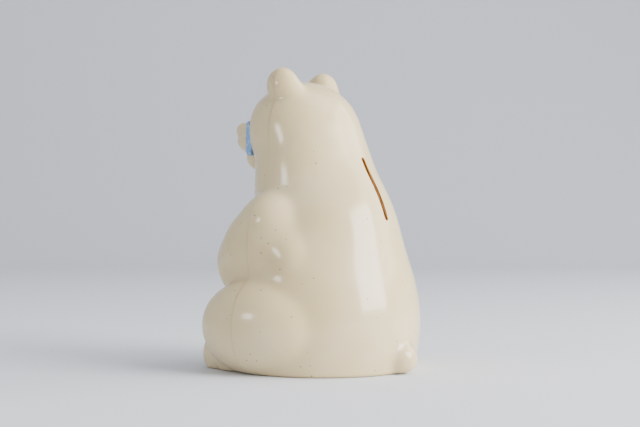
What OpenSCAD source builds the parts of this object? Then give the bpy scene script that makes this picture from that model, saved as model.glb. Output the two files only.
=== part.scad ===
// Seated bear money bank: two moulded half shells, a glasses frame and a base stopper.
// All sizes in millimetres, +Z up. The bear faces -Y and stands on z = 0.

/* [Overall] */
// Height from the floor to the tips of the ears
bank_height = 200; // [160:1:240]
// Width across the thighs
bank_width = 155; // [134:1:186]
// Depth from the nose to the tail
bank_depth = 144; // [125:1:170]
// Wall thickness of both half shells
wall = 2.8; // [2:0.1:3.6]
// Thickness of the flat floor of the bank
floor_wall = 3; // [2:0.1:4]
// Rounding where the sides meet the floor
base_edge_r = 2; // [1:0.1:3]

/* [Coin slot] */
// Length of the coin slot
slot_len = 45; // [30:1:56]
// Width of the coin slot
slot_w = 3.2; // [2.4:0.1:5]
// Height of the middle of the slot, on a 200 mm tall bank
slot_mid_z = 119.5; // [112:0.5:126]
// Lean of the slot away from upright, following the back
slot_lean = 23.6; // [18:0.2:28]

/* [Glasses] */
// Outer half width of the glasses frame
glasses_half_w = 26; // [24:0.5:28]
// Height of each rim
rim_h = 23.6; // [20:0.2:26]
// Height of the middle of the rims
rim_mid_z = 153.8; // [151:0.2:156]
// Width of the material round each lens opening
rim_bar = 3; // [2:0.1:4]
// Thickness of the glasses frame, front to back
glasses_t = 4.4; // [3:0.1:5.5]
// Depth of the pocket in the face that takes the frame
pocket_depth = 0.8; // [0.4:0.1:1.4]

/* [Stopper] */
// Diameter of the hole in the floor
hole_d = 36; // [30:1:42]
// Diameter of the stopper's flange
flange_d = 46; // [42:1:50]
// Thickness of the flange
flange_t = 2.2; // [1.6:0.1:3]
// Depth of the step that takes the flange
step_depth = 3.2; // [3:0.1:4]
// Height of the thick seat round the hole
seat_h = 7; // [6:0.5:10]
// Length of the stopper's plug above the flange
plug_len = 6.5; // [5:0.5:10]
// Distance of the hole behind the middle of the base
hole_y = 15; // [12:1:20]

/* [Hidden] */
// Rounding of circles
$fn = 96;
// Sizes that the proportions below were drawn for
drawn_height = 200;
drawn_width = 155;
drawn_depth = 144;
stretch = [bank_width / drawn_width, bank_depth / drawn_depth, bank_height / drawn_height];
// Front to back position of the plane where the two shells meet
seam_y = -17 * stretch.y;
// Radial gap that lets the stopper slide
running_gap = 0.05;
// Radial gap round the flange
flange_gap = 0.5;
// Height of the point that the head's rays fan out from
fan_z = 150 * stretch.z;
// Number of levels below and above that point, and of steps round each shell
body_levels = 30;
head_levels = 26;
turns = 42;
// Shares of the lower edge's rounding that have a level of their own
edge_levels = [0, 0.3, 1];
// How much closer the steps are at the sides and the middle than between them
turn_crowding = 0.4;
// How much closer the levels are at the head than at the floor, as a power
level_crowding = 1.15;
// How far towards the sides the rays start, as a share of the half width
ray_spread = 0.6;
// Rows of a skin: the floor's line and every level
skin_rows = body_levels + head_levels + 2;
// Search limits and steps for the distance to the surface
near_limit = 1;
far_limit = 115 * max(stretch);
search_steps = 8;

// The bear is a set of eggs that melt into each other. Each egg is given as
// centre, radii and sideways lean, for the bear's left side; the right side mirrors it.
trunk_eggs = [
    [[0, 0, 31], [65.5, 65.6, 78.8], 0],          // hips
    [[0, 2.8, 75.5], [50, 50.7, 69.3], 0],        // back
    [[0, -6.3, 123.8], [41.7, 38.6, 51.2], 0]     // chest
];
head_egg = [[0, -16.4, 159.9], [36.8, 37.3, 31.8], 0];
arm_eggs = [
    [[37.9, -11, 102.5], [21.6, 20.2, 16], 25],   // shoulder
    [[40.6, -15.5, 79.7], [20.4, 32.5, 29.6], 0], // arm
    [[46, 8, 71], [12.5, 14, 17], 0],             // elbow
    [[35.6, -39.5, 70.3], [15, 18.4, 21.5], 0]    // paw
];
leg_eggs = [
    [[51.2, -13.4, 30.2], [26.3, 43.7, 31.8], 0], // thigh
    [[43, -38, 14], [16, 18, 20], 0]              // shin
];
foot_egg = [[35, -52.9, 9.7], [17, 16.7, 17.7], 0];
muzzle_eggs = [
    [[0, -54.7, 153], [14.2, 13.8, 9], 0],        // muzzle
    [[0, -65.95, 160.6], [5.5, 6, 6], 0]          // nose
];
lip_egg = [[0, -50.3, 141.5], [11, 11, 9.4], 0];
ear_eggs = [
    [[23.4, -16.4, 188], [9, 11.3, 12], 0],       // ear tip
    [[20, -10.5, 179.5], [9.5, 10, 12], 0]        // ear root
];
tail_eggs = [
    [[0, 62, 10], [10, 10, 10], 0],               // tail tip
    [[0, 53.3, 15], [16, 12.2, 17], 0]            // tail root
];
// Flat of the face behind the glasses
face_y = -41;

// Multiply two vectors item by item
function times(a, b) = [a.x * b.x, a.y * b.y, a.z * b.z];

// Turn a point about Y by an angle
function leaned(q, a) = a == 0 ? q
    : [q.x * cos(a) - q.z * sin(a), q.y, q.x * sin(a) + q.z * cos(a)];

// Signed distance, nearly, from a point to one egg: negative inside
function egg_gap(p, egg) =
    let (q = leaned(p - times(egg[0], stretch), egg[2]))
    let (r = times(egg[1], stretch))
    let (u = [q.x / r.x, q.y / r.y, q.z / r.z])
    let (k0 = norm(u) + 0.000001)
    let (k1 = norm([u.x / r.x, u.y / r.y, u.z / r.z]) + 0.000001)
    k0 * (k0 - 1) / k1;

function total(list) = list * [for (v = list) 1];

// Smooth union: the gaps melt together over the softness k
function melt(gaps, k) =
    let (low = min(gaps))
    low - k * ln(total([for (g = gaps) exp((low - g) / k)]));

function egg_gaps(p, eggs) = [for (e = eggs) egg_gap(p, e)];

// Head with its front cut to the flat of the face, softly
function head_gap(p) =
    -melt([-egg_gap(p, head_egg), p.y - face_y * stretch.y], 1);

// Signed distance, nearly, to the whole bear
function bear_gap(point) =
    let (p = [abs(point.x), point.y, point.z])
    let (trunk = melt(concat(egg_gaps(p, trunk_eggs), [head_gap(p)]), 4.5))
    let (arms = melt([trunk, melt(egg_gaps(p, arm_eggs), 3)], 1.8))
    let (thighs = melt([arms, melt(egg_gaps(p, leg_eggs), 2)], 1.4))
    let (legs = melt([thighs, egg_gap(p, foot_egg)], 1.2))
    let (face = melt([legs, egg_gap(p, lip_egg), melt(egg_gaps(p, muzzle_eggs), 1.6)], 1.5))
    let (ears = melt([face, melt(egg_gaps(p, ear_eggs), 2)], 1.2))
    melt([ears, melt(egg_gaps(p, tail_eggs), 2)], 1.2);

// Distance along a ray to the surface that lies depth below the skin:
// halve the bracket a few times, then divide it in proportion
function reach(from, way, depth) =
    refine(from, way, depth, near_limit, far_limit, search_steps);

function refine(from, way, depth, a, b, steps) =
    steps == 0 ? divide(a, b, bear_gap(from + way * a) + depth, bear_gap(from + way * b) + depth)
    : let (m = (a + b) / 2)
      bear_gap(from + way * m) + depth < 0
          ? refine(from, way, depth, m, b, steps - 1)
          : refine(from, way, depth, a, m, steps - 1);

function divide(a, b, at_a, at_b) = a - at_a * (b - a) / (at_b - at_a);

// Inset of the side near the floor, for a rounded lower edge
function edge_inset(z) =
    z >= base_edge_r ? 0 : base_edge_r - sqrt(pow(base_edge_r, 2) - pow(base_edge_r - z, 2));

// Height a ray starts from, and its climb, at each level above a floor
function start_z(i, low) =
    i < len(edge_levels) ? low + base_edge_r * edge_levels[i]
    : fan_z + (low + base_edge_r - fan_z)
        * pow(max(0, body_levels - i) / (body_levels - len(edge_levels) + 1), level_crowding);

function climb(i) = i <= body_levels ? 0 : 90 * (i - body_levels) / head_levels;

// Angle of a ray round the shell, from the bear's left side
function turn_angle(j) =
    180 * j / turns - turn_crowding * 45 / PI * sin(720 * j / turns);

// Points that the rays of a level start from, spread along the seam plane
function ray_start(turn, z, half_w) = [ray_spread * half_w * cos(turn), seam_y, z];

// One point of a skin: side is 1 for the rear shell and -1 for the front one
function skin_point(i, j, side, depth, half_w, z) =
    let (turn = turn_angle(j), up = climb(i))
    let (way = [cos(turn) * cos(up), side * sin(turn) * cos(up), sin(up)])
    let (from = ray_start(turn, z, half_w))
    let (inset = depth == 0 ? edge_inset(z) : 0)
    from + way * (reach(from, way, depth) - inset);

// One row of a skin: the bear's left half is worked out, and the right half mirrors it
function mirrored_row(left) =
    concat(left, [for (j = [turns / 2 - 1 : -1 : 0]) [-left[j].x, left[j].y, left[j].z]]);

function skin_row(i, side, depth, low) =
    let (z = start_z(i, low))
    let (half_w = reach([0, seam_y, z], [1, 0, 0], depth))
    mirrored_row([for (j = [0 : turns / 2]) skin_point(i, j, side, depth, half_w, z)]);

// The floor's line in the seam plane, which closes the skin below its first row
function floor_row(depth, low) =
    let (half_w = reach([0, seam_y, low], [1, 0, 0], depth))
    mirrored_row([for (j = [0 : turns / 2]) ray_start(turn_angle(j), low, half_w)]);

// A whole skin: a grid whose border lies in the seam plane all the way round
function skin_points(side, depth, low) = concat(
    floor_row(depth, low),
    [for (i = [0 : body_levels + head_levels]) each skin_row(i, side, depth, low)]);

// Faces of one skin, seen from outside; the diagonals mirror each other too
function skin_faces(first) =
    [for (i = [0 : skin_rows - 2], j = [0 : turns - 1], k = [0, 1])
        let (a = first + i * (turns + 1) + j, b = a + turns + 1)
        j < turns / 2
            ? (k == 0 ? [a, b, b + 1] : [a, b + 1, a + 1])
            : (k == 0 ? [a, b, a + 1] : [b, b + 1, a + 1])];

// Faces in the seam plane, joining the outer skin's border to the inner one's
function rim_faces(second) =
    let (w = turns + 1, last = skin_rows - 1)
    let (border = concat(
        [for (i = [0 : last]) i * w],
        [for (j = [1 : turns]) last * w + j],
        [for (i = [last - 1 : -1 : 0]) i * w + turns],
        [for (j = [turns - 1 : -1 : 1]) j]))
    [for (n = [0 : len(border) - 1], k = [0, 1])
        let (a = border[n], b = border[(n + 1) % len(border)])
        k == 0 ? [a, b + second, b] : [a, a + second, b + second]];

function flipped(faces) = [for (f = faces) [f[0], f[2], f[1]]];

// One half shell: the outer skin, the inner skin and the border between them
module half_shell(side) {
    outer = skin_points(side, 0, 0);
    inner = skin_points(side, wall, floor_wall);
    faces = concat(skin_faces(0), flipped(skin_faces(len(outer))), rim_faces(len(outer)));
    polyhedron(points = concat(outer, inner), faces = side > 0 ? faces : flipped(faces));
}

// Points of an arc from angle a to angle b
function arc(middle, r, a, b, steps) =
    [for (i = [0 : steps])
        let (t = a + (b - a) * i / steps)
        middle + r * [cos(t), sin(t)]];

// Outline of a box with round corners
function round_box(low, high, r) = concat(
    arc([high.x - r, high.y - r], r, 0, 90, 6),
    arc([low.x + r, high.y - r], r, 90, 180, 6),
    arc([low.x + r, low.y + r], r, 180, 270, 6),
    arc([high.x - r, low.y + r], r, 270, 360, 6));

// Outline of a slot with round ends, standing upright
function slot_outline(length, width) = concat(
    arc([0, (length - width) / 2], width / 2, 0, 180, 12),
    arc([0, -(length - width) / 2], width / 2, 180, 360, 12));

module coin_slot_cut() {
    mid_z = slot_mid_z * stretch.z;
    from = [0, seam_y, mid_z];
    back_y = seam_y + reach(from, [0, 1, 0], 0);
    translate([0, back_y, mid_z])
        rotate([slot_lean, 0, 0])
            rotate([90, 0, 0])
                linear_extrude(height = 8 * wall, center = true)
                    polygon(slot_outline(slot_len, slot_w));
}

// Where the frame's bridge bends over the muzzle
bridge_mid = [0, 156 * stretch.z];
bridge_in_r = 12.4 * max(stretch.x, stretch.z);
bridge_bar = 3;
rim_in_x = 11 * stretch.x;
rim_out_x = glasses_half_w * stretch.x;
rim_corner = 4;

module glasses_outline() {
    low_z = rim_mid_z * stretch.z - rim_h / 2;
    high_z = rim_mid_z * stretch.z + rim_h / 2;
    difference() {
        union() {
            polygon(round_box([rim_in_x, low_z], [rim_out_x, high_z], rim_corner));
            polygon(round_box([-rim_out_x, low_z], [-rim_in_x, high_z], rim_corner));
            difference() {
                polygon(arc(bridge_mid, bridge_in_r + bridge_bar, 25, 155, 24));
                polygon(arc(bridge_mid, bridge_in_r, 0, 360, 40));
            }
        }
        polygon(round_box([rim_in_x + rim_bar, low_z + rim_bar],
            [rim_out_x - rim_bar, high_z - rim_bar], rim_corner - 1));
        polygon(round_box([rim_bar - rim_out_x, low_z + rim_bar],
            [-rim_in_x - rim_bar, high_z - rim_bar], rim_corner - 1));
    }
}

glasses_back_y = face_y * stretch.y + pocket_depth;

module glasses_solid() {
    translate([0, glasses_back_y, 0])
        rotate([90, 0, 0])
            linear_extrude(height = glasses_t)
                glasses_outline();
}

module glasses() {
    color([0.44, 0.6, 0.81])
        glasses_solid();
}

module front_shell() {
    color([0.84, 0.78, 0.65])
        difference() {
            half_shell(-1);
            glasses_solid();
        }
}

seat_r = flange_d / 2 + flange_gap + wall;
stopper_y = hole_y * stretch.y;

module rear_shell() {
    color([0.84, 0.78, 0.65])
        difference() {
            union() {
                half_shell(1);
                translate([0, stopper_y, floor_wall / 2])
                    cylinder(h = seat_h - floor_wall / 2, r = seat_r);
            }
            coin_slot_cut();
            translate([0, stopper_y, -1])
                cylinder(h = step_depth + 1, r = flange_d / 2 + flange_gap);
            translate([0, stopper_y, -1])
                cylinder(h = seat_h + 2, r = hole_d / 2);
        }
}

// Finger recess and grip bar under the stopper
cup_wall = 3;
grip_bar = 3.2;
plug_top = step_depth + plug_len;

module stopper() {
    plug_r = hole_d / 2 - running_gap;
    color([0.8, 0.76, 0.68])
        translate([0, stopper_y, 0])
            difference() {
                union() {
                    translate([0, 0, step_depth - flange_t])
                        cylinder(h = flange_t, r = flange_d / 2);
                    translate([0, 0, step_depth - flange_t / 2])
                        cylinder(h = plug_len + flange_t / 2, r = plug_r);
                }
                difference() {
                    translate([0, 0, -1])
                        cylinder(h = plug_top - cup_wall + 1, r = plug_r - cup_wall);
                    translate([-plug_r, -grip_bar / 2, step_depth - flange_t])
                        cube([2 * plug_r, grip_bar, plug_top]);
                }
            }
}

front_shell();
rear_shell();
glasses();
stopper();
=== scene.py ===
# %% [markdown]
# # A seated bear money bank
# The real thing is two glossy plastic half shells with a coin slot, a blue glasses frame and a soft stopper.
# This lesson builds each of them round a fixed frame of measured parts, and ends with the light and the camera.
# We start by loading that frame and keeping its parts by name.

# %% Load the frame
import math
import time
import bmesh
import bpy
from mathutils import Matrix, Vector
from mathutils.bvhtree import BVHTree


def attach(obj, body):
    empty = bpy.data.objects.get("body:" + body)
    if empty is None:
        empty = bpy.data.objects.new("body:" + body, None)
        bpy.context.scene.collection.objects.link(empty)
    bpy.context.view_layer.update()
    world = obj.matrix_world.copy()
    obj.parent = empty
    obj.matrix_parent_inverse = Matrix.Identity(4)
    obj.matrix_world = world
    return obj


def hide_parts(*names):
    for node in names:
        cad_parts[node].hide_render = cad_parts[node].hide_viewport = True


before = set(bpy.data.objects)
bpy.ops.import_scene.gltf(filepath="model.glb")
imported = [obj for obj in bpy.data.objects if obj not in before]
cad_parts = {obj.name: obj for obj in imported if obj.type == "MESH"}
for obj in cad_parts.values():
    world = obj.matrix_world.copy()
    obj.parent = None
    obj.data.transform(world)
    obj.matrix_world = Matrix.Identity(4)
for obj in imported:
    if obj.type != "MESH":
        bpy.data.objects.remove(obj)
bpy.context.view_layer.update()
MM = 0.001
started = time.time()

# %% [markdown]
# ## The rule of the body
# The bear has no flat sides to draw, so its skin is the place where a number called the gap is zero.
# Every limb is an egg with its own gap, negative inside, and the eggs melt into each other like warm wax.
# Geometry Nodes can work this number out anywhere, so we first wire a few small groups that the body shares.

# %% Small helpers for wiring nodes
def feed(tree, socket, value):
    """Wires a socket to another one, or sets it to a plain value."""
    if isinstance(value, bpy.types.NodeSocket):
        tree.links.new(value, socket)
    else:
        socket.default_value = value


def maths(tree, operation, *values):
    """One step of plain arithmetic; values are sockets or numbers."""
    node = tree.nodes.new("ShaderNodeMath")
    node.operation = operation
    for place, value in enumerate(values):
        feed(tree, node.inputs[place], value)
    return node.outputs[0]


def vectors(tree, operation, *values):
    """One step of vector arithmetic; values are sockets, vectors or numbers."""
    node = tree.nodes.new("ShaderNodeVectorMath")
    node.operation = operation
    for place, value in enumerate(values):
        socket = node.inputs["Scale"] if operation == "SCALE" and place == 1 else node.inputs[place]
        feed(tree, socket, value)
    return node.outputs["Value" if operation in ("LENGTH", "DOT_PRODUCT") else "Vector"]


def new_tree(name, inputs, outputs):
    """Makes a Geometry Nodes tree with named inputs and outputs."""
    tree = bpy.data.node_groups.new(name, "GeometryNodeTree")
    for title, kind, value in inputs:
        socket = tree.interface.new_socket(title, in_out="INPUT", socket_type=kind)
        if value is not None:
            socket.default_value = value
    for title, kind in outputs:
        tree.interface.new_socket(title, in_out="OUTPUT", socket_type=kind)
    return tree, tree.nodes.new("NodeGroupInput").outputs, tree.nodes.new("NodeGroupOutput").inputs


def use_group(tree, group, **values):
    """Uses a finished group as one node; an underscore in a name stands for a space."""
    node = tree.nodes.new("GeometryNodeGroup")
    node.node_tree = group
    for title, value in values.items():
        feed(tree, node.inputs[title.replace("_", " ")], value)
    return node.outputs[0]


FLOAT, VECTOR, SOLID = "NodeSocketFloat", "NodeSocketVector", "NodeSocketGeometry"
print("helpers ready")

# %% One egg, and the melting of two gaps
def egg_group():
    """The gap of one egg: its stretched distance from the centre, put right by how fast that grows."""
    tree, given, result = new_tree(
        "egg gap",
        [("Point", VECTOR, None), ("Centre", VECTOR, None), ("Radii", VECTOR, None), ("Lean", FLOAT, 0.0)],
        [("Gap", FLOAT)])
    turn = tree.nodes.new("ShaderNodeVectorRotate")
    turn.rotation_type = "Y_AXIS"
    feed(tree, turn.inputs["Vector"], vectors(tree, "SUBTRACT", given["Point"], given["Centre"]))
    feed(tree, turn.inputs["Angle"], maths(tree, "MULTIPLY", given["Lean"], -1.0))
    once = vectors(tree, "DIVIDE", turn.outputs[0], given["Radii"])
    near = vectors(tree, "LENGTH", once)
    slope = vectors(tree, "LENGTH", vectors(tree, "DIVIDE", once, given["Radii"]))
    product = maths(tree, "MULTIPLY", near, maths(tree, "SUBTRACT", near, 1.0))
    feed(tree, result[0], maths(tree, "DIVIDE", product, maths(tree, "ADD", slope, 1e-6)))
    return tree


def melt_group():
    """The smaller of two gaps, with a soft fillet where they are nearly equal."""
    tree, given, result = new_tree(
        "melt", [("A", FLOAT, 0.0), ("B", FLOAT, 0.0), ("Softness", FLOAT, 0.001)], [("Gap", FLOAT)])
    low = maths(tree, "MINIMUM", given["A"], given["B"])
    apart = maths(tree, "ABSOLUTE", maths(tree, "SUBTRACT", given["A"], given["B"]))
    ratio = maths(tree, "DIVIDE", apart, given["Softness"])
    share = maths(tree, "EXPONENT", maths(tree, "MULTIPLY", ratio, -1.0))
    fillet = maths(tree, "LOGARITHM", maths(tree, "ADD", share, 1.0), math.e)
    feed(tree, result[0], maths(tree, "SUBTRACT", low, maths(tree, "MULTIPLY", fillet, given["Softness"])))
    return tree


EGG, MELT = egg_group(), melt_group()
print("groups", EGG.name, "and", MELT.name)

# %% The eggs of the bear, in millimetres
# Place of the flat face behind the glasses. Each egg is its centre, its radii and its lean in degrees
FACE_Y = -41
HEAD = ((0, -16.4, 159.9), (36.8, 37.3, 31.8), 0)
TRUNK = [((0, 0, 31), (65.5, 65.6, 78.8), 0), ((0, 2.8, 75.5), (50, 50.7, 69.3), 0),
         ((0, -6.3, 123.8), (41.7, 38.6, 51.2), 0)]
ARM = [((37.9, -11, 102.5), (21.6, 20.2, 16), 25), ((40.6, -15.5, 79.7), (20.4, 32.5, 29.6), 0),
       ((46, 8, 71), (12.5, 14, 17), 0), ((35.6, -39.5, 70.3), (15, 18.4, 21.5), 0)]
LEG = [((51.2, -13.4, 30.2), (26.3, 43.7, 31.8), 0), ((43, -38, 14), (16, 18, 20), 0)]
FOOT = [((35, -52.9, 9.7), (17, 16.7, 17.7), 0)]
LIP = [((0, -50.3, 141.5), (11, 11, 9.4), 0)]
MUZZLE = [((0, -54.7, 153), (14.2, 13.8, 9), 0), ((0, -65.95, 160.6), (5.5, 6, 6), 0)]
EAR = [((23.4, -16.4, 188), (9, 11.3, 12), 0), ((20, -10.5, 179.5), (9.5, 10, 12), 0)]
TAIL = [((0, 62, 10), (10, 10, 10), 0), ((0, 53.3, 15), (16, 12.2, 17), 0)]
EYE = [((18.5, -40.4, 154.5), (3.2, 1.9, 3.8), 0)]
print(2 + len(TRUNK + ARM + LEG + FOOT + LIP + MUZZLE + EAR + TAIL), "eggs")

# %% The gap of the whole bear
# How softly the eggs of a limb melt into each other, and how softly the limb melts into the body
FACE_EDGE, TRUNK_MELT = 1, 4.5
ARM_MELT, ARM_ROOT = 3, 1.8
LEG_MELT, LEG_ROOT = 2, 1.4
FOOT_ROOT, MUZZLE_MELT, MUZZLE_ROOT = 1.2, 1.6, 1.5
EAR_MELT, EAR_ROOT = 2, 1.2
TAIL_MELT, TAIL_ROOT = 2, 1.2
EYE_ROOT = 0.5


def bear_group():
    """The gap of the bear at a point. It mirrors x, so one arm, leg and ear do for both sides."""
    tree, given, result = new_tree("bear gap", [("Point", VECTOR, None)], [("Gap", FLOAT)])
    parts = tree.nodes.new("ShaderNodeSeparateXYZ")
    feed(tree, parts.inputs[0], given["Point"])
    folded = tree.nodes.new("ShaderNodeCombineXYZ")
    feed(tree, folded.inputs[0], maths(tree, "ABSOLUTE", parts.outputs[0]))
    feed(tree, folded.inputs[1], parts.outputs[1])
    feed(tree, folded.inputs[2], parts.outputs[2])

    def egg(shape):
        centre, radii, lean = shape
        return use_group(tree, EGG, Point=folded.outputs[0], Centre=Vector(centre) * MM,
                         Radii=Vector(radii) * MM, Lean=math.radians(lean))

    def melted(gaps, softness):
        whole = gaps[0]
        for gap in gaps[1:]:
            whole = use_group(tree, MELT, A=whole, B=gap, Softness=softness * MM)
        return whole

    def eggs(shapes):
        return [egg(shape) for shape in shapes]

    behind_face = maths(tree, "SUBTRACT", parts.outputs[1], FACE_Y * MM)
    outside_head = maths(tree, "MULTIPLY", egg(HEAD), -1.0)
    head = maths(tree, "MULTIPLY", melted([outside_head, behind_face], FACE_EDGE), -1.0)
    body = melted(eggs(TRUNK) + [head], TRUNK_MELT)
    body = melted([body, melted(eggs(ARM), ARM_MELT)], ARM_ROOT)
    body = melted([body, melted(eggs(LEG), LEG_MELT)], LEG_ROOT)
    body = melted([body] + eggs(FOOT), FOOT_ROOT)
    body = melted([body] + eggs(LIP) + [melted(eggs(MUZZLE), MUZZLE_MELT)], MUZZLE_ROOT)
    body = melted([body, melted(eggs(EAR), EAR_MELT)], EAR_ROOT)
    body = melted([body, melted(eggs(TAIL), TAIL_MELT)], TAIL_ROOT)
    feed(tree, result[0], melted([body] + eggs(EYE), EYE_ROOT))
    return tree


BEAR = bear_group()
print("bear gap has", len(BEAR.nodes), "nodes")

# %% [markdown]
# ## From the rule to a skin
# A volume grid samples the gap, and its zero surface gives even four-sided faces with no poles or seams.
# The grid alone would leave small steps, so each point then slides along the slope of the gap until it
# lies on the skin.
# The same tree makes the outside and, at the depth of the wall, the hollow inside.
# The floor is cut flat with a round edge.

# %% The tree that makes a skin
def skin_gap_group():
    tree, given, result = new_tree(
        "skin gap",
        [("Point", VECTOR, None), ("Depth", FLOAT, 0.0), ("Floor", FLOAT, 0.0), ("Edge", FLOAT, 0.002)],
        [("Gap", FLOAT)])
    parts = tree.nodes.new("ShaderNodeSeparateXYZ")
    feed(tree, parts.inputs[0], given["Point"])
    side = maths(tree, "ADD", use_group(tree, BEAR, Point=given["Point"]), given["Depth"])
    under = maths(tree, "SUBTRACT", given["Floor"], parts.outputs[2])
    side, under = maths(tree, "ADD", side, given["Edge"]), maths(tree, "ADD", under, given["Edge"])
    inner = maths(tree, "MINIMUM", maths(tree, "MAXIMUM", side, under), 0.0)
    corner = tree.nodes.new("ShaderNodeCombineXYZ")
    feed(tree, corner.inputs[0], maths(tree, "MAXIMUM", side, 0.0))
    feed(tree, corner.inputs[1], maths(tree, "MAXIMUM", under, 0.0))
    outer = vectors(tree, "LENGTH", corner.outputs[0])
    feed(tree, result[0], maths(tree, "SUBTRACT", maths(tree, "ADD", inner, outer), given["Edge"]))
    return tree


SKIN_GAP = skin_gap_group()
# Four probes at the corners of a tetrahedron give the slope of the gap, and a few slides settle a point
PROBE = 0.1 * MM
PROBES = [(1, -1, -1), (-1, -1, 1), (-1, 1, -1), (1, 1, 1)]
SLIDES = 3
OUTSIDE_DENSITY = -0.01


def skin_tree():
    tree, given, result = new_tree(
        "bear skin",
        [("Geometry", SOLID, None), ("Low Corner", VECTOR, None), ("High Corner", VECTOR, None),
         ("Voxel Size", FLOAT, 0.001), ("Depth", FLOAT, 0.0), ("Floor", FLOAT, 0.0), ("Edge", FLOAT, 0.002),
         ("Finish", "NodeSocketMaterial", None)],
        [("Geometry", SOLID)])

    def gap_at(point):
        return use_group(tree, SKIN_GAP, Point=point, Depth=given["Depth"], Floor=given["Floor"],
                         Edge=given["Edge"])

    here = tree.nodes.new("GeometryNodeInputPosition").outputs[0]
    cube = tree.nodes.new("GeometryNodeVolumeCube")
    feed(tree, cube.inputs["Density"], maths(tree, "MULTIPLY", gap_at(here), -1.0))
    feed(tree, cube.inputs["Background"], OUTSIDE_DENSITY)
    feed(tree, cube.inputs["Min"], given["Low Corner"])
    feed(tree, cube.inputs["Max"], given["High Corner"])
    size = vectors(tree, "SUBTRACT", given["High Corner"], given["Low Corner"])
    counts = tree.nodes.new("ShaderNodeSeparateXYZ")
    feed(tree, counts.inputs[0], size)
    for axis in "XYZ":
        feed(tree, cube.inputs["Resolution " + axis],
             maths(tree, "CEIL", maths(tree, "DIVIDE", counts.outputs[axis], given["Voxel Size"])))
    surface = tree.nodes.new("GeometryNodeVolumeToMesh")
    feed(tree, surface.inputs["Volume"], cube.outputs[0])
    feed(tree, surface.inputs["Threshold"], 0.0)
    shape = surface.outputs[0]
    for _ in range(SLIDES):
        gaps = [gap_at(vectors(tree, "ADD", here, Vector(probe) * PROBE)) for probe in PROBES]
        slope, total = Vector((0, 0, 0)), 0.0
        for probe, gap in zip(PROBES, gaps):
            slope = vectors(tree, "ADD", slope, vectors(tree, "SCALE", Vector(probe), gap))
            total = maths(tree, "ADD", total, gap)
        slope = vectors(tree, "SCALE", slope, 1 / (len(PROBES) * PROBE))
        steep = vectors(tree, "DOT_PRODUCT", slope, slope)
        step = maths(tree, "DIVIDE", maths(tree, "MULTIPLY", total, -1 / len(PROBES)), steep)
        settle = tree.nodes.new("GeometryNodeSetPosition")
        feed(tree, settle.inputs["Geometry"], shape)
        feed(tree, settle.inputs["Offset"], vectors(tree, "SCALE", slope, step))
        shape = settle.outputs[0]
    real = tree.nodes.new("GeometryNodeRealizeInstances")
    feed(tree, real.inputs[0], shape)
    paint = tree.nodes.new("GeometryNodeSetMaterial")
    feed(tree, paint.inputs["Geometry"], real.outputs[0])
    feed(tree, paint.inputs["Material"], given["Finish"])
    feed(tree, result[0], paint.outputs[0])
    return tree


SKIN = skin_tree()
print("bear skin has", len(SKIN.nodes), "nodes")

# %% Running a tree and keeping its result
def add_object(name, data):
    """Puts a mesh, lamp or camera into the scene as an object."""
    thing = bpy.data.objects.new(name, data)
    bpy.context.scene.collection.objects.link(thing)
    return thing


def drop(*things):
    for thing in things:
        bpy.data.objects.remove(thing, do_unlink=True)


def frozen(thing, name):
    """The evaluated shape of an object, as a plain mesh object of its own."""
    bpy.context.view_layer.update()
    graph = bpy.context.evaluated_depsgraph_get()
    mesh = bpy.data.meshes.new_from_object(thing.evaluated_get(graph))
    mesh.name = name
    return add_object(name, mesh)


def grown(tree, name, **values):
    """Runs a Geometry Nodes tree with the given named inputs."""
    seed = add_object("seed", bpy.data.meshes.new("seed"))
    modifier = seed.modifiers.new("tree", "NODES")
    modifier.node_group = tree
    sockets = {s.name: s.identifier for s in tree.interface.items_tree if s.in_out == "INPUT"}
    for title, value in values.items():
        modifier[sockets[title.replace("_", " ")]] = value
    result = frozen(seed, name)
    drop(seed)
    return result


def one_finish(thing, finish):
    """Puts every face of a piece on a single finish."""
    thing.data.materials.clear()
    thing.data.materials.append(finish)
    thing.data.polygons.foreach_set("material_index", [0] * len(thing.data.polygons))


def signed_volume(mesh):
    """The volume inside a closed mesh, positive when its faces point outwards."""
    bm = bmesh.new()
    bm.from_mesh(mesh)
    volume = bm.calc_volume(signed=True)
    bm.free()
    return volume


print("ready to grow")

# %% [markdown]
# ## The finishes
# The shells are glossy cream plastic with a few dark specks mixed into it, so the specks are small balls in space,
# cut by the surface at random heights. The colour drifts a little from place to place, as it does in coloured plastic.
# Where the wall is cut, at the slot and in the hollow, it is painted a deep amber, which is painted shade for the dim
# inside of the slot. The glasses are a mottled blue.

# %% Helpers for materials
def new_finish(name, **values):
    """A Principled material with plain values on the shader's own sockets."""
    finish = bpy.data.materials.new(name)
    finish.use_nodes = True
    shader = finish.node_tree.nodes["Principled BSDF"]
    for title, value in values.items():
        shader.inputs[title.replace("_", " ")].default_value = value
    return finish, finish.node_tree, shader


def shade(red, green, blue):
    """A colour given as on a paint card, 0 to 255, turned into light amounts."""
    def light(part):
        part /= 255
        return part / 12.92 if part <= 0.04045 else ((part + 0.055) / 1.055) ** 2.4
    return light(red), light(green), light(blue), 1.0


def pattern(tree, kind, scale, **values):
    """A Noise or Voronoi texture on the piece's own coordinates; scale is in repeats per metre."""
    place = tree.nodes.new("ShaderNodeTexCoord")
    node = tree.nodes.new(kind)
    tree.links.new(place.outputs["Object"], node.inputs["Vector"])
    node.inputs["Scale"].default_value = scale
    for title, value in values.items():
        node.inputs[title.replace("_", " ")].default_value = value
    return node


def ramp(tree, amount, *stops):
    """A colour for each amount, blended between stops of a place and a colour."""
    node = tree.nodes.new("ShaderNodeValToRGB")
    tree.links.new(amount, node.inputs["Fac"])
    marks = node.color_ramp.elements
    while len(marks) < len(stops):
        marks.new(0.5)
    for mark, (place, colour) in zip(marks, stops):
        mark.position = place
        mark.color = colour
    return node.outputs["Color"]


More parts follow.
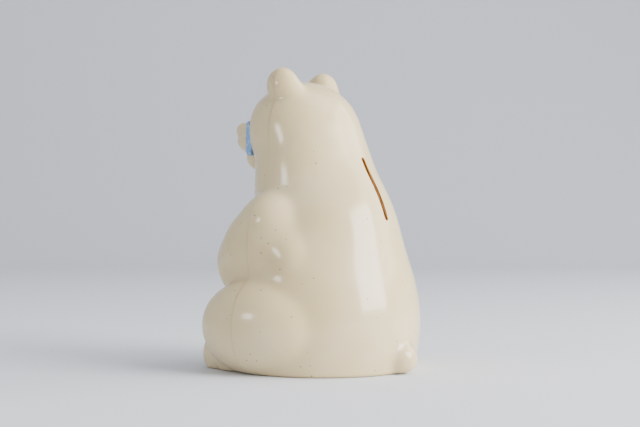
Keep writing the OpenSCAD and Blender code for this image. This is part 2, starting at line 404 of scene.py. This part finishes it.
# Places of the colour sockets on a Mix node, which has sockets of the same name for other kinds of data
MIX_FIRST, MIX_SECOND, MIX_RESULT = 6, 7, 2


def blend_colours(tree, amount, first, second):
    """The first colour where amount is 0, the second where it is 1."""
    node = tree.nodes.new("ShaderNodeMix")
    node.data_type = "RGBA"
    feed(tree, node.inputs["Factor"], amount)
    feed(tree, node.inputs[MIX_FIRST], first)
    feed(tree, node.inputs[MIX_SECOND], second)
    return node.outputs[MIX_RESULT]


def fade(tree, amount, low, high):
    """0 below low, 1 above high, smooth between them."""
    node = tree.nodes.new("ShaderNodeMapRange")
    node.interpolation_type = "SMOOTHSTEP"
    feed(tree, node.inputs["Value"], amount)
    node.inputs["From Min"].default_value = low
    node.inputs["From Max"].default_value = high
    return node.outputs["Result"]


def waves(tree, shader, height, depth):
    """Fine unevenness of the surface, as deep as given."""
    node = tree.nodes.new("ShaderNodeBump")
    node.inputs["Distance"].default_value = depth
    node.inputs["Strength"].default_value = 1.0
    tree.links.new(height, node.inputs["Height"])
    tree.links.new(node.outputs["Normal"], shader.inputs["Normal"])


print("material helpers ready")

# %% Cream plastic with specks
# Spacing, smallest and largest radius, and strength of the large specks and of the fine ones
LARGE_SPECKS = (6.7 * MM, 0.34 * MM, 0.62 * MM, 0.85)
FINE_SPECKS = (4.3 * MM, 0.14 * MM, 0.26 * MM, 0.5)
# Where a speck's edge starts and ends to fade, as a share of its radius
SPECK_EDGE = (0.6, 1.15)
GLOSS_LOW, GLOSS_HIGH = 0.12, 0.2
CREAM, CREAM_WARM, CREAM_PALE = shade(217, 196, 150), shade(212, 189, 140), shade(221, 202, 160)
SPECK_BLUE, SPECK_TEAL, SPECK_BROWN = shade(84, 96, 108), shade(66, 92, 92), shade(120, 100, 76)


def speck_layer(tree, colour, spacing, small, large, strength):
    """Balls of a darker pigment, one in each cell, with a radius of their own."""
    cells = pattern(tree, "ShaderNodeTexVoronoi", 1 / spacing, Randomness=1.0)
    parts = tree.nodes.new("ShaderNodeSeparateColor")
    tree.links.new(cells.outputs["Color"], parts.inputs[0])
    span = (large - small) / spacing
    radius = maths(tree, "MULTIPLY_ADD", parts.outputs[0], span, small / spacing)
    depth = maths(tree, "DIVIDE", cells.outputs["Distance"], radius)
    inside = maths(tree, "SUBTRACT", 1.0, fade(tree, depth, *SPECK_EDGE))
    pigment = ramp(tree, parts.outputs[1], (0.0, SPECK_BLUE), (0.45, SPECK_TEAL), (0.75, SPECK_BROWN))
    amount = maths(tree, "MULTIPLY", inside, strength)
    return blend_colours(tree, amount, colour, pigment)


def cream_finish():
    finish, tree, shader = new_finish("speckled cream plastic", Roughness=0.16, IOR=1.5,
                                      Subsurface_Weight=0.12, Subsurface_Scale=0.004)
    shader.inputs["Subsurface Radius"].default_value = (1.0, 0.7, 0.4)
    clouds = pattern(tree, "ShaderNodeTexNoise", 22, Detail=3.0, Roughness=0.5)
    base = ramp(tree, clouds.outputs[0], (0.3, CREAM_WARM), (0.52, CREAM), (0.72, CREAM_PALE))
    base = speck_layer(tree, base, *LARGE_SPECKS)
    base = speck_layer(tree, base, *FINE_SPECKS)
    tree.links.new(base, shader.inputs["Base Color"])
    haze = pattern(tree, "ShaderNodeTexNoise", 60, Detail=4.0)
    gloss = tree.nodes.new("ShaderNodeMapRange")
    tree.links.new(haze.outputs[0], gloss.inputs["Value"])
    gloss.inputs["To Min"].default_value = GLOSS_LOW
    gloss.inputs["To Max"].default_value = GLOSS_HIGH
    tree.links.new(gloss.outputs["Result"], shader.inputs["Roughness"])
    ripple = pattern(tree, "ShaderNodeTexNoise", 90, Detail=1.0)
    waves(tree, shader, ripple.outputs[0], 0.06 * MM)
    return finish


def slot_shade_finish():
    # Painted shade: a deep amber on the cut walls and the hollow stands in for the dim, warm inside of the slot
    finish, tree, shader = new_finish("amber painted slot shade", Roughness=0.4, IOR=1.5)
    clouds = pattern(tree, "ShaderNodeTexNoise", 260, Detail=4.0)
    base = ramp(tree, clouds.outputs[0], (0.3, shade(158, 96, 28)), (0.7, shade(186, 120, 42)))
    tree.links.new(base, shader.inputs["Base Color"])
    waves(tree, shader, clouds.outputs[0], 0.05 * MM)
    return finish


CREAM_PLASTIC, AMBER_SLOT_SHADE = cream_finish(), slot_shade_finish()
print("made", CREAM_PLASTIC.name, "and", AMBER_SLOT_SHADE.name)

# %% Blue glasses and the soft stopper
def blue_finish():
    finish, tree, shader = new_finish("mottled blue plastic", Roughness=0.35, IOR=1.5)
    clouds = pattern(tree, "ShaderNodeTexNoise", 170, Detail=3.0, Roughness=0.6)
    base = ramp(tree, clouds.outputs[0], (0.36, shade(98, 142, 200)), (0.52, shade(118, 158, 208)),
                (0.66, shade(150, 178, 212)))
    flecks = pattern(tree, "ShaderNodeTexVoronoi", 1 / (3.4 * MM), Randomness=1.0)
    pale = maths(tree, "SUBTRACT", 1.0, fade(tree, flecks.outputs["Distance"], 0.16, 0.34))
    base = blend_colours(tree, maths(tree, "MULTIPLY", pale, 0.75), base, shade(196, 192, 204))
    tree.links.new(base, shader.inputs["Base Color"])
    waves(tree, shader, clouds.outputs[0], 0.05 * MM)
    return finish


def stopper_finish():
    finish, tree, shader = new_finish("milky soft plastic", Roughness=0.5, IOR=1.48,
                                      Subsurface_Weight=0.2, Subsurface_Scale=0.004)
    clouds = pattern(tree, "ShaderNodeTexNoise", 80, Detail=4.0)
    base = ramp(tree, clouds.outputs[0], (0.3, shade(206, 200, 184)), (0.7, shade(222, 216, 202)))
    tree.links.new(base, shader.inputs["Base Color"])
    grain = pattern(tree, "ShaderNodeTexNoise", 1500, Detail=2.0)
    waves(tree, shader, grain.outputs[0], 0.03 * MM)
    return finish


BLUE_PLASTIC, SOFT_PLASTIC = blue_finish(), stopper_finish()
print("made", BLUE_PLASTIC.name, "and", SOFT_PLASTIC.name)

# %% [markdown]
# ## The outer skin and the hollow
# Both skins come from the one tree. The outside needs small faces because it mirrors the lights,
# while the hollow is hardly seen and gets faces more than twice as large.

# %% Grow both skins
LOW, HIGH = Vector((-80, -75, -3)) * MM, Vector((80, 75, 203)) * MM
WALL, FLOOR_WALL = 2.8, 3.0
# The outer skin lies a little inside the measured one, which keeps its finer curves within the frame's box
SKIN_INSET, OUTER_VOXEL, HOLLOW_VOXEL, BASE_EDGE_R, HOLLOW_EDGE_R = 0.2, 1.0, 2.4, 2.0, 1.5
outer = grown(SKIN, "outer skin", Low_Corner=LOW, High_Corner=HIGH, Voxel_Size=OUTER_VOXEL * MM,
              Depth=SKIN_INSET * MM, Floor=0.0, Edge=BASE_EDGE_R * MM, Finish=CREAM_PLASTIC)
hollow = grown(SKIN, "hollow", Low_Corner=LOW, High_Corner=HIGH, Voxel_Size=HOLLOW_VOXEL * MM,
               Depth=WALL * MM, Floor=FLOOR_WALL * MM, Edge=HOLLOW_EDGE_R * MM, Finish=AMBER_SLOT_SHADE)
one_finish(outer, CREAM_PLASTIC)
one_finish(hollow, AMBER_SLOT_SHADE)
for skin in (outer, hollow):
    print(skin.name, len(skin.data.polygons), "faces,", round(signed_volume(skin.data) * 1e6), "cm3")

# %% [markdown]
# ## The join between the halves
# The two mouldings never match perfectly: the rear one stands a little proud, and its rounded edge catches the light.
# We cut loops of points beside the join and press the front half in, so the line is real shape and not paint.

# %% Cut and press the join
JOIN_Y = -17
# Radius of the rounded edge, how far the front half is pressed in there, and how slowly that fades
LIP_R, STEP, FADE, TURN_IN = 0.9, 0.55, 9.0, 0.25
# Half width of the band that gets extra loops, and how far in front of the join the skin still moves
BAND, REACH = 4, 30
JOIN_LOOPS = (-1.2, -0.5, -0.25, -0.1, 0.0, 0.04, 0.12, 0.25, 0.42, 0.64, 0.9, 1.4)


def join_inset(s):
    """How far the skin sinks at a distance s behind the join, all in millimetres."""
    if s >= LIP_R:
        return 0.0
    if s >= 0:
        return LIP_R - math.sqrt(LIP_R ** 2 - (LIP_R - s) ** 2)
    near = max(0.0, 1 + s / TURN_IN)
    return STEP * math.exp(s / FADE) + (LIP_R - STEP) * near ** 2


def press_join(mesh):
    """Cuts loops of points beside the join and moves the skin there along its own normals."""
    bm = bmesh.new()
    bm.from_mesh(mesh)
    band = [f for f in bm.faces if abs(f.calc_center_median().y / MM - JOIN_Y) < BAND]
    parts = set(band) | {e for f in band for e in f.edges} | {v for f in band for v in f.verts}
    for s in JOIN_LOOPS:
        cut = bmesh.ops.bisect_plane(bm, geom=list(parts), dist=1e-7,
                                     plane_co=(0, (JOIN_Y + s) * MM, 0), plane_no=(0, 1, 0))
        parts = {part for part in parts if part.is_valid} | set(cut["geom"]) | set(cut["geom_cut"])
    bm.normal_update()
    moves = []
    for v in bm.verts:
        s = v.co.y / MM - JOIN_Y
        if -REACH < s < LIP_R:
            # The press fades out near the floor, so the base stays flat
            off_floor = min(1.0, max(0.0, v.co.z / MM / 3 - 0.1))
            moves.append((v, v.normal * (-join_inset(s) * MM * off_floor)))
    for v, move in moves:
        v.co += move
    return bm


joined = press_join(outer.data)
print("join pressed,", len(joined.faces), "faces")

# %% Split into two closed halves
def half(whole, name, side):
    """Keeps one side of the join and closes it with a flat face in the join's plane."""
    bm = whole.copy()
    away = [f for f in bm.faces if (f.calc_center_median().y / MM - JOIN_Y) * side < 0]
    bmesh.ops.delete(bm, geom=away, context="FACES")
    rim = [e for e in bm.edges if e.is_boundary]
    bmesh.ops.holes_fill(bm, edges=rim, sides=0)
    mesh = bpy.data.meshes.new(name)
    bm.to_mesh(mesh)
    bm.free()
    mesh.materials.append(CREAM_PLASTIC)
    print(name, len(mesh.polygons), "faces")
    return add_object(name, mesh)


front_block, rear_block = half(joined, "front block", -1), half(joined, "rear block", 1)
joined.free()

# %% [markdown]
# ## Cutters
# The slot, the pocket for the glasses and the hole for the stopper are cut with solids of our own.
# A cutter is a stack of outlines. For the slot the outlines follow the back and widen at the skin,
# which leaves a small round lip, as a mould would.

# %% Stacks of outlines and turned solids
def stack(name, rings, finish):
    """Joins rings with the same number of points into a closed solid."""
    bm = bmesh.new()
    rows = [[bm.verts.new(point) for point in ring] for ring in rings]
    count = len(rows[0])
    for low, high in zip(rows, rows[1:]):
        for k in range(count):
            bm.faces.new((low[k], low[(k + 1) % count], high[(k + 1) % count], high[k]))
    bm.faces.new(rows[0][::-1])
    bm.faces.new(rows[-1])
    bmesh.ops.recalc_face_normals(bm, faces=bm.faces)
    mesh = bpy.data.meshes.new(name)
    bm.to_mesh(mesh)
    bm.free()
    mesh.materials.append(finish)
    return add_object(name, mesh)


def turned(name, profile, centre, finish, steps=128):
    """A solid of revolution; the profile lists radius and height in millimetres from axis to axis."""
    rings = []
    for radius, height in profile:
        rings.append([Vector((centre[0] + radius * math.cos(2 * math.pi * k / steps),
                              centre[1] + radius * math.sin(2 * math.pi * k / steps), height)) * MM
                      for k in range(steps)])
    return stack(name, rings, finish)


def rounded(corner, before, after, radius, steps=4):
    """Points that round off a corner of a profile between two neighbours."""
    corner, before, after = Vector(corner), Vector(before), Vector(after)
    start = corner + (before - corner).normalized() * radius
    end = corner + (after - corner).normalized() * radius
    points = []
    for k in range(steps + 1):
        t = k / steps
        points.append((1 - t) ** 2 * start + 2 * t * (1 - t) * corner + t * t * end)
    return [tuple(point) for point in points]


def softened(profile, radii):
    """Rounds the corners of an open profile; a radius of 0 keeps a corner sharp."""
    points = [profile[0]]
    for k in range(1, len(profile) - 1):
        radius = radii[k]
        points += rounded(profile[k], profile[k - 1], profile[k + 1], radius) if radius else [profile[k]]
    return points + [profile[-1]]


print("cutting helpers ready")

# %% The slot cutter follows the back
SLOT_LONG, SLOT_WIDE, SLOT_Z, SLOT_LEAN, SLOT_LIP = 45, 3.2, 119.5, math.radians(23.6), 0.45
# Points round the slot, rings of its round lip, and how far outside the back the rays start, in metres
SLOT_STEPS, LIP_RINGS, RAY_START = 64, 6, 0.03
along = Vector((0, -math.sin(SLOT_LEAN), math.cos(SLOT_LEAN)))
outward = Vector((0, math.cos(SLOT_LEAN), math.sin(SLOT_LEAN)))
back = BVHTree.FromObject(rear_block, bpy.context.evaluated_depsgraph_get())
slot_middle = back.ray_cast(Vector((0, JOIN_Y + 1, SLOT_Z)) * MM, Vector((0, 1, 0)))[0]


def slot_ring(wider, above):
    """The slot's outline, widened, at a height above the back's surface."""
    half_w = SLOT_WIDE / 2 + wider
    half_l = (SLOT_LONG - SLOT_WIDE) / 2
    ring = []
    for k in range(SLOT_STEPS):
        turn = 2 * math.pi * k / SLOT_STEPS
        lift = half_l if k <= SLOT_STEPS / 2 else -half_l
        flat = Vector((half_w * math.cos(turn), 0, 0)) + along * (half_w * math.sin(turn) + lift)
        point = slot_middle + flat * MM
        hit = back.ray_cast(point + outward * RAY_START, -outward)[0]
        ring.append(hit + outward * (above * MM))
    return ring


slot_rings = [slot_ring(0, -9), slot_ring(0, -2.5)]
for k in range(LIP_RINGS):
    turn = k / (LIP_RINGS - 1) * math.pi / 2
    slot_rings.append(slot_ring(SLOT_LIP * (1 - math.cos(turn)), -SLOT_LIP * (1 - math.sin(turn)) + 0.01))
slot_rings.append(slot_ring(SLOT_LIP + 0.01, 3))
slot_cutter = stack("slot cutter", slot_rings, AMBER_SLOT_SHADE)
print("slot middle at", [round(c / MM, 1) for c in slot_middle])

# %% The stopper's hole and its seat
STOPPER_Y, HOLE_R, RECESS_R, RECESS_DEEP, SEAT_R, SEAT_TOP = 15, 18, 23.5, 3.2, 26.3, 7
# A profile starts this close to its axis, so that each end of the turned solid is a small flat face
AXIS = 0.01
seat = turned("seat", [(AXIS, 1.5), (SEAT_R, 1.5), (SEAT_R, SEAT_TOP - 0.8), (SEAT_R - 0.8, SEAT_TOP),
                       (AXIS, SEAT_TOP)], (0, STOPPER_Y), AMBER_SLOT_SHADE)
well = turned("well", [(AXIS, -1), (RECESS_R + 0.5, -1), (RECESS_R + 0.5, 0), (RECESS_R + 0.15, 0.15),
                       (RECESS_R, 0.5), (RECESS_R, RECESS_DEEP), (HOLE_R + 0.4, RECESS_DEEP),
                       (HOLE_R, RECESS_DEEP + 0.4), (HOLE_R, 9), (AXIS, 9)], (0, STOPPER_Y), AMBER_SLOT_SHADE)
print("seat and well ready")

# %% Glasses outlines
RIM_IN, RIM_OUT, RIM_LOW, RIM_HIGH, RIM_CORNER, RIM_BAR = 11, 26, 142.0, 165.6, 4, 3
BRIDGE_Z, BRIDGE_R = 156, 12.4
GLASSES_BACK, GLASSES_FRONT = -40.2, -44.6
POCKET_GAP = 0.12


def arc(middle, radius, start, end, steps):
    return [(middle[0] + radius * math.cos(math.radians(start + (end - start) * k / steps)),
             middle[1] + radius * math.sin(math.radians(start + (end - start) * k / steps)))
            for k in range(steps + 1)]


def round_box(low, high, radius):
    return (arc((high[0] - radius, high[1] - radius), radius, 0, 90, 10)
            + arc((low[0] + radius, high[1] - radius), radius, 90, 180, 10)
            + arc((low[0] + radius, low[1] + radius), radius, 180, 270, 10)
            + arc((high[0] - radius, low[1] + radius), radius, 270, 360, 10))


def plate(name, outline, front, rear, finish, side=1):
    return stack(name, [[Vector((side * x, y, z)) * MM for x, z in outline] for y in (front, rear)], finish)


def combined(base, name, *steps):
    """Applies union and difference solids to a base one after another, and drops them all."""
    for operation, tool in steps:
        cut = base.modifiers.new(operation, "BOOLEAN")
        cut.operation, cut.object, cut.solver = operation, tool, "MANIFOLD"
        cut.material_mode = "TRANSFER"
    result = frozen(base, name)
    drop(base, *{tool for _, tool in steps})
    return result


def glasses_blank(name, grow, front, rear, finish):
    """Two rims and a bridge; grow makes every bar thicker all round."""
    parts = []
    for side in (-1, 1):
        rim = round_box((RIM_IN - grow, RIM_LOW - grow), (RIM_OUT + grow, RIM_HIGH + grow), RIM_CORNER + grow)
        parts.append(("UNION", plate("rim", rim, front, rear, finish, side)))
    for side in (-1, 1):
        lens = round_box((RIM_IN + RIM_BAR + grow, RIM_LOW + RIM_BAR + grow),
                         (RIM_OUT - RIM_BAR - grow, RIM_HIGH - RIM_BAR - grow), RIM_CORNER - 1)
        parts.append(("DIFFERENCE", plate("lens opening", lens, front - 1, rear + 1, finish, side)))
    bridge = (arc((0, BRIDGE_Z), BRIDGE_R + RIM_BAR + grow, 25, 155, 40)
              + arc((0, BRIDGE_Z), BRIDGE_R - grow, 155, 25, 40))
    return combined(plate("bridge", bridge, front, rear, finish), name, *parts)


pocket = glasses_blank("pocket", POCKET_GAP, GLASSES_FRONT - 2, GLASSES_BACK + 0.02, CREAM_PLASTIC)
print("pocket", len(pocket.data.polygons), "faces")

# %% [markdown]
# ## The two shells
# With the cutters ready, each half loses the hollow, and then its own openings.
# The cut faces keep the cutter's amber painted shade, which is how the slot gets its dark colour.

# %% Make the shells
def tidy_slots(thing, *finishes):
    """Leaves only the given finishes on a piece, with every face on the right one."""
    mesh = thing.data
    names = [m.name if m else "" for m in mesh.materials]
    wanted = [finish.name for finish in finishes]
    places = [wanted.index(names[p.material_index]) if names[p.material_index] in wanted else 0
              for p in mesh.polygons]
    mesh.materials.clear()
    for finish in finishes:
        mesh.materials.append(finish)
    mesh.polygons.foreach_set("material_index", places)


def smooth(thing, angle):
    """Shades a piece smoothly, but keeps edges sharper than the angle, in degrees."""
    mesh = thing.data
    mesh.polygons.foreach_set("use_smooth", [True] * len(mesh.polygons))
    mesh.set_sharp_from_angle(angle=math.radians(angle))


hollow_copy = add_object("hollow copy", hollow.data.copy())
front_shell = combined(front_block, "front_moulding", ("DIFFERENCE", hollow), ("DIFFERENCE", pocket))
rear_shell = combined(rear_block, "rear_moulding", ("DIFFERENCE", hollow_copy), ("UNION", seat),
                      ("DIFFERENCE", well), ("DIFFERENCE", slot_cutter))
for shell in (front_shell, rear_shell):
    tidy_slots(shell, CREAM_PLASTIC, AMBER_SLOT_SHADE)
    smooth(shell, 35)
    print(shell.name, len(shell.data.polygons), "faces,", round(signed_volume(shell.data) * 1e6, 1), "cm3")
drop(outer)

# %% [markdown]
# ## The glasses
# The frame is one flat blue plate with two lens openings and a bridge that bends over the muzzle.
# Bevelled edges take the hardness off it, as on a part that has been moulded or cut and polished.

# %% Make the glasses
def bevelled(thing, name, width, segments):
    """The piece with its sharp edges rounded off."""
    edge = thing.modifiers.new("edge", "BEVEL")
    edge.width, edge.segments, edge.limit_method = width, segments, "ANGLE"
    edge.angle_limit = math.radians(40)
    result = frozen(thing, name)
    drop(thing)
    return result


# How far the cutter reaches past the frame, and its own half width
WEDGE_PAST, WEDGE_HALF_W = 2, 40


def rear_wedge(name, z_edge, z_in, depth):
    """A cutter that slopes the back of the frame, from depth at its edge down to nothing."""
    over = 1 if z_edge > z_in else -1
    past = WEDGE_PAST
    outline = [(GLASSES_BACK + past, z_in - over * past * abs(z_edge - z_in) / depth),
               (GLASSES_BACK + past, z_edge + over * past),
               (GLASSES_BACK - depth, z_edge + over * past),
               (GLASSES_BACK - depth, z_edge),
               (GLASSES_BACK, z_in)]
    return stack(name, [[Vector((x, y, z)) * MM for y, z in outline]
                        for x in (-WEDGE_HALF_W, WEDGE_HALF_W)], BLUE_PLASTIC)


blank = combined(glasses_blank("glasses blank", 0, GLASSES_FRONT, GLASSES_BACK, BLUE_PLASTIC), "sloped blank",
                 ("DIFFERENCE", rear_wedge("top slope", RIM_HIGH, RIM_HIGH - 6, 3.2)),
                 ("DIFFERENCE", rear_wedge("bottom slope", RIM_LOW, RIM_LOW + 4, 1.6)))
glasses = bevelled(blank, "blue_glasses", 0.4 * MM, 3)
tidy_slots(glasses, BLUE_PLASTIC)
smooth(glasses, 50)
print(glasses.name, len(glasses.data.polygons), "faces")

# %% [markdown]
# ## The stopper
# A soft plug closes the hole in the floor. Turning a profile gives its flange, ribs and finger cup,
# and a bar across the cup is what the fingers pull. Small grip ridges repeat along the bar, a job for Geometry Nodes.

# %% Turn the stopper
FLANGE_R, FLANGE_LOW, FLANGE_TOP, PLUG_R, PLUG_TOP, CUP_R, CUP_TOP = 23, 1.0, 3.2, 17.95, 9.7, 14.95, 6.7
BAR_HALF, BAR_ROOT_HALF, BAR_EDGE_R, BAR_SUNK, BAR_PAST_CUP = 1.6, 1.9, 0.9, 0.5, 0.6
RIBS, RIB_PITCH, RIB_DEEP = 3, 1.8, 0.5
outside = [(AXIS, FLANGE_LOW), (FLANGE_R, FLANGE_LOW), (FLANGE_R, FLANGE_TOP), (PLUG_R - RIB_DEEP, FLANGE_TOP)]
radii = [0, 0.7, 0.6, 0.3]
for rib in range(RIBS):
    base = FLANGE_TOP + RIB_PITCH / 2 + rib * RIB_PITCH
    outside += [(PLUG_R - RIB_DEEP, base), (PLUG_R, base + 0.5), (PLUG_R, base + 0.9), (PLUG_R - RIB_DEEP, base + 1.4)]
    radii += [0.2, 0.25, 0.25, 0.2]
outside += [(PLUG_R - 0.9, PLUG_TOP), (AXIS, PLUG_TOP)]
radii += [0.5, 0]
body = turned("stopper body", softened(outside, radii), (0, STOPPER_Y), SOFT_PLASTIC)
cup = turned("cup", softened([(AXIS, 0), (CUP_R + 0.5, 0), (CUP_R + 0.5, FLANGE_LOW), (CUP_R, FLANGE_LOW + 0.5),
                              (CUP_R, CUP_TOP), (AXIS, CUP_TOP)], [0, 0, 0.2, 0.2, 0.9, 0]),
             (0, STOPPER_Y), SOFT_PLASTIC)
# Half of the bar's outline, which is a little wider at its root than at its rounded lower edge
bar_side = [(-BAR_ROOT_HALF, CUP_TOP + BAR_SUNK)]
bar_side += rounded((-BAR_HALF, FLANGE_LOW), (-BAR_HALF, 5), (0, FLANGE_LOW), BAR_EDGE_R)
bar_side += [(-y, z) for y, z in bar_side[::-1]]
bar = stack("bar", [[Vector((x, STOPPER_Y + y, z)) * MM for y, z in bar_side]
                    for x in (-CUP_R - BAR_PAST_CUP, CUP_R + BAR_PAST_CUP)], SOFT_PLASTIC)
stopper = combined(body, "soft_plug", ("DIFFERENCE", cup), ("UNION", bar))
tidy_slots(stopper, SOFT_PLASTIC)
smooth(stopper, 40)
print(stopper.name, len(stopper.data.polygons), "faces")

# %% Grip ridges along the bar
def ridge_tree():
    """Two rows of short upright ridges, one on each side of the bar."""
    tree, given, result = new_tree(
        "grip ridges",
        [("Geometry", SOLID, None), ("Ridges", "NodeSocketInt", 9), ("Length", FLOAT, 0.02),
         ("Half Width", FLOAT, 0.0016), ("Radius", FLOAT, 0.0004), ("Low", FLOAT, 0.0), ("High", FLOAT, 0.0),
         ("Middle", VECTOR, None), ("Finish", "NodeSocketMaterial", None)],
        [("Geometry", SOLID)])
    ridge = tree.nodes.new("GeometryNodeMeshCylinder")
    feed(tree, ridge.inputs["Vertices"], 12)
    feed(tree, ridge.inputs["Radius"], given["Radius"])
    feed(tree, ridge.inputs["Depth"], maths(tree, "SUBTRACT", given["High"], given["Low"]))
    join = tree.nodes.new("GeometryNodeJoinGeometry")
    for side in (-1, 1):
        ends = []
        for end in (-0.5, 0.5):
            spot = tree.nodes.new("ShaderNodeCombineXYZ")
            feed(tree, spot.inputs[0], maths(tree, "MULTIPLY", given["Length"], end))
            feed(tree, spot.inputs[1], maths(tree, "MULTIPLY", given["Half Width"], side))
            middle_z = maths(tree, "MULTIPLY", maths(tree, "ADD", given["Low"], given["High"]), 0.5)
            feed(tree, spot.inputs[2], middle_z)
            ends.append(vectors(tree, "ADD", spot.outputs[0], given["Middle"]))
        row = tree.nodes.new("GeometryNodeMeshLine")
        row.mode = "END_POINTS"
        feed(tree, row.inputs["Count"], given["Ridges"])
        feed(tree, row.inputs["Start Location"], ends[0])
        feed(tree, row.inputs["Offset"], ends[1])
        place = tree.nodes.new("GeometryNodeInstanceOnPoints")
        feed(tree, place.inputs["Points"], row.outputs[0])
        feed(tree, place.inputs["Instance"], ridge.outputs["Mesh"])
        tree.links.new(place.outputs[0], join.inputs[0])
    real = tree.nodes.new("GeometryNodeRealizeInstances")
    feed(tree, real.inputs[0], join.outputs[0])
    paint = tree.nodes.new("GeometryNodeSetMaterial")
    feed(tree, paint.inputs["Geometry"], real.outputs[0])
    feed(tree, paint.inputs["Material"], given["Finish"])
    feed(tree, result[0], paint.outputs[0])
    return tree


ridges = grown(ridge_tree(), "grip_ridges", Ridges=9, Length=20 * MM, Half_Width=1.62 * MM, Radius=0.45 * MM,
               Low=2.0 * MM, High=6.4 * MM, Middle=Vector((0, STOPPER_Y * MM, 0)), Finish=SOFT_PLASTIC)
ridges = bevelled(ridges, "grip_ridges", 0.2 * MM, 2)
smooth(ridges, 50)
print(ridges.name, len(ridges.data.polygons), "faces")

# %% [markdown]
# ## Who moves with whom
# The bank stands still while the plug slides out of its base, so every piece is told which body it rides on.

# %% Ride on the bodies
for piece, body, node, slot in ((front_shell, "bank", "front_shell", "cream_shell"),
                                (rear_shell, "bank", "rear_shell", "cream_shell"),
                                (glasses, "bank", "glasses", "blue_frame"),
                                (stopper, "plug", "stopper", "soft_stopper")):
    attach(piece, body)
    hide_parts(node)
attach(ridges, "plug")
print("five pieces ride on two bodies")

# %% [markdown]
# ## A quiet studio
# The bank stands on a pale sweep with no visible horizon. Gloss is nothing without something to mirror,
# so a broad window of light stands behind the bank to the right and a small one to the left,
# while the rest of the room stays dim.

# %% The sweep
CAMERA_TURN = math.radians(125)


def sweep():
    """A floor that bends up into a wall, far behind and wide enough for every view."""
    wide, rise, near, far, top = 4.5, 1.2, 2.6, -1.6, 4
    profile = [(near, 0)]
    profile += [(far - rise * math.sin(a), rise - rise * math.cos(a))
                for a in (math.radians(4 * k) for k in range(23))]
    profile += [(far - rise, top)]
    mesh = bpy.data.meshes.new("sweep")
    ahead = Vector((math.sin(CAMERA_TURN), -math.cos(CAMERA_TURN), 0))
    side = Vector((-ahead.y, ahead.x, 0))
    points, faces = [], []
    for run, height in profile:
        for across in (-wide, wide):
            points.append(ahead * run + side * across + Vector((0, 0, height)))
    for k in range(len(profile) - 1):
        faces.append((2 * k, 2 * k + 1, 2 * k + 3, 2 * k + 2))
    mesh.from_pydata(points, [], faces)
    for face in mesh.polygons:
        face.use_smooth = True
    finish, _, shader = new_finish("pale paper", Roughness=0.85)
    shader.inputs["Base Color"].default_value = shade(214, 216, 220)
    mesh.materials.append(finish)
    return add_object("sweep", mesh)


sweep()
print("sweep ready")

# %% Lights and world
def softbox(name, azimuth, elevation, distance, wide, tall, power, colour=(1, 1, 1)):
    """A lit panel that faces the bank; azimuth 0 is in front of the bear and 90 to its left."""
    turn, lift = math.radians(azimuth), math.radians(elevation)
    way = Vector((math.sin(turn) * math.cos(lift), -math.cos(turn) * math.cos(lift), math.sin(lift)))
    lamp = bpy.data.lights.new(name, "AREA")
    lamp.shape, lamp.size, lamp.size_y, lamp.energy, lamp.color = "RECTANGLE", wide, tall, power, colour
    thing = add_object(name, lamp)
    thing.location = Vector((0, 0, 0.1)) + way * distance
    thing.rotation_euler = (-way).to_track_quat("-Z", "Y").to_euler()
    return thing


softbox("window", 187, 20, 1.6, 1.0, 0.9, 60)
softbox("small window", 66, 16, 1.8, 0.34, 0.3, 5)
softbox("side fill", 228, 30, 2.2, 1.6, 1.2, 30)
softbox("ceiling", 200, 70, 2.4, 1.6, 1.6, 22)
world = bpy.data.worlds.new("room")
bpy.context.scene.world = world
world.use_nodes = True
world.node_tree.nodes["Background"].inputs["Color"].default_value = (0.86, 0.9, 1.0, 1)
world.node_tree.nodes["Background"].inputs["Strength"].default_value = 0.75
print("lights ready")

# %% The camera
lens = bpy.data.cameras.new("camera")
lens.sensor_width = 36
lens.lens = 73.75
lens.shift_x = 0.0133
camera = add_object("camera", lens)
camera.location = (0.7233, 0.4975, 0.103)
camera.rotation_euler = (math.radians(90), 0, CAMERA_TURN)
bpy.context.scene.camera = camera
print("camera ready after", round(time.time() - started, 1), "s")
